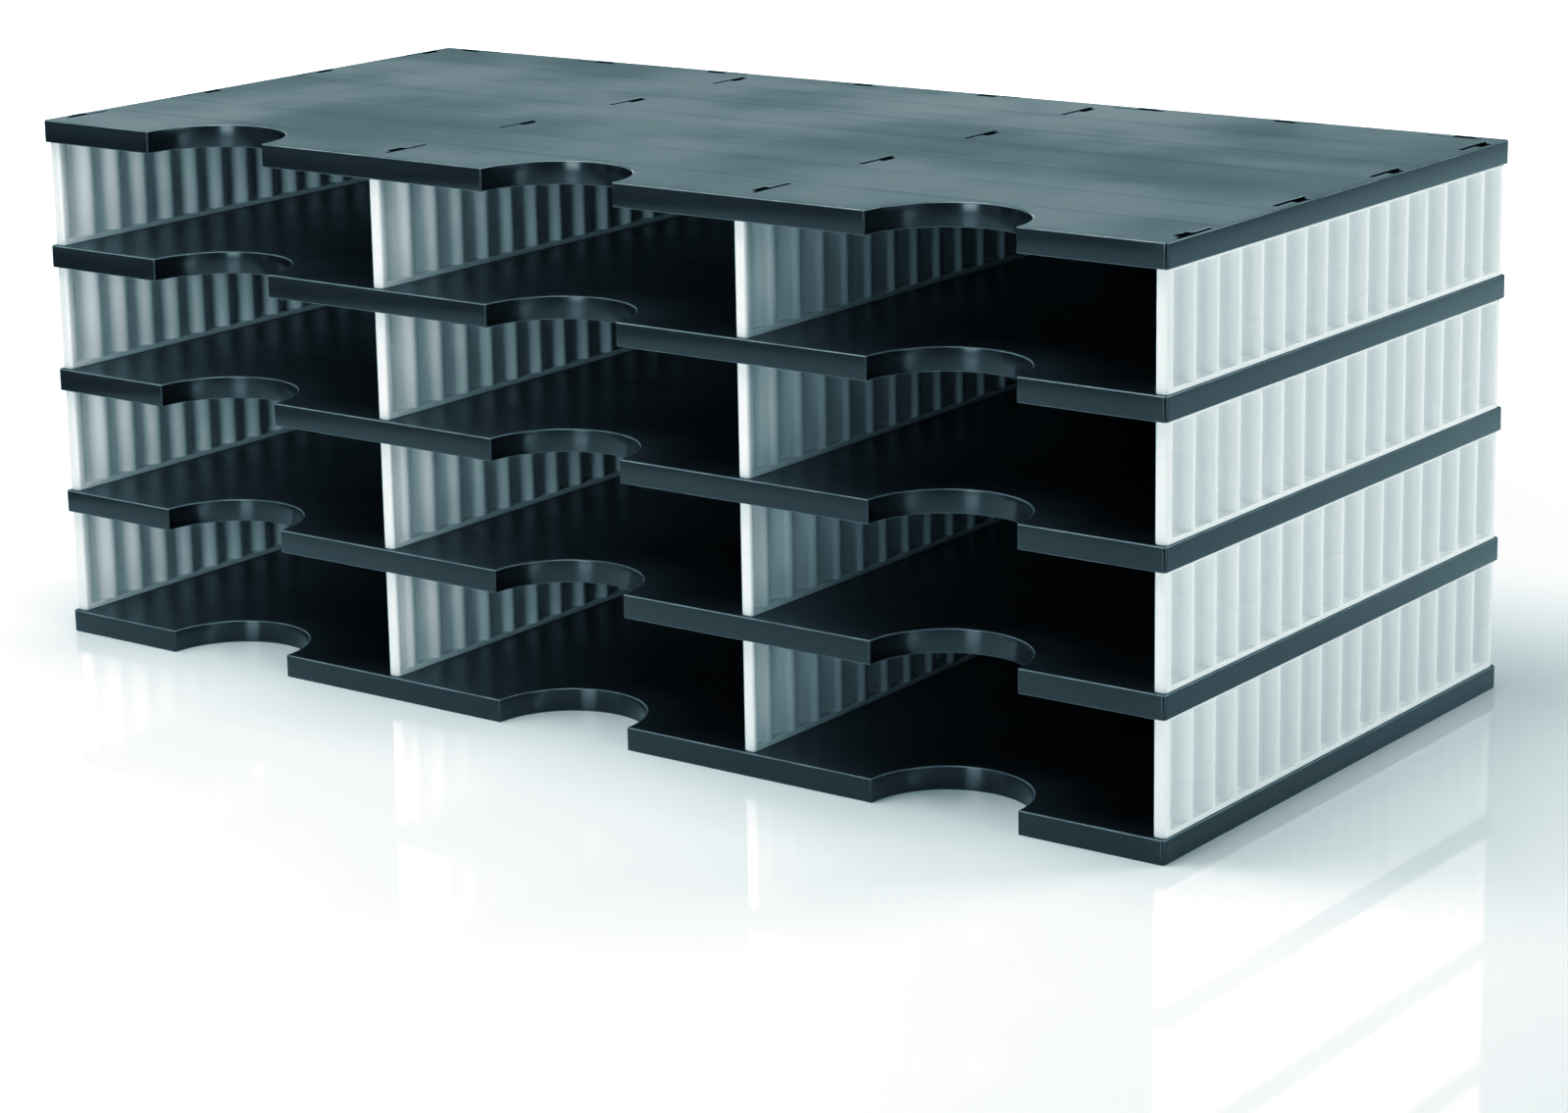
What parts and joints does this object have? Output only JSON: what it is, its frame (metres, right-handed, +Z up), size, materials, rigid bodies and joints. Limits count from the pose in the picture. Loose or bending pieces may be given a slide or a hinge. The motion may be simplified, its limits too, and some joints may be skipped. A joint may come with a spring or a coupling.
{
  "type": "literature sorter",
  "caption": "Wide desktop literature sorter of stacked black plates with finger notches, white fluted side panels and dividers, and open-fronted pockets for flat sheets.",
  "frame": {"origin": "centre of the footprint, on the surface that the sorter stands on", "axes": "+X from the left end to the right end as seen from the open front, +Y from the open front towards the back walls, +Z up"},
  "size_m": [0.723, 0.34, 0.294],
  "materials": {
    "plate_black": "dark blue-black moulded plastic, semi-gloss, with a faint lengthwise flow texture",
    "panel_white": "cool white moulded plastic, satin",
    "wall_black": "black moulded plastic, semi-gloss"
  },
  "bodies": {
    "root": {"base_plate": "plate_black", "shelf_1": "plate_black", "shelf_2": "plate_black", "shelf_3": "plate_black", "top_plate": "plate_black", "side_panel_left_1": "panel_white", "divider_left_1": "panel_white", "divider_right_1": "panel_white", "side_panel_right_1": "panel_white", "back_wall_left_1": "wall_black", "back_wall_middle_1": "wall_black", "back_wall_right_1": "wall_black", "side_panel_left_2": "panel_white", "divider_left_2": "panel_white", "divider_right_2": "panel_white", "side_panel_right_2": "panel_white", "back_wall_left_2": "wall_black", "back_wall_middle_2": "wall_black", "back_wall_right_2": "wall_black", "side_panel_left_3": "panel_white", "divider_left_3": "panel_white", "divider_right_3": "panel_white", "side_panel_right_3": "panel_white", "back_wall_left_3": "wall_black", "back_wall_middle_3": "wall_black", "back_wall_right_3": "wall_black", "side_panel_left_4": "panel_white", "divider_left_4": "panel_white", "divider_right_4": "panel_white", "side_panel_right_4": "panel_white", "back_wall_left_4": "wall_black", "back_wall_middle_4": "wall_black", "back_wall_right_4": "wall_black"}
  },
  "joints": []
}
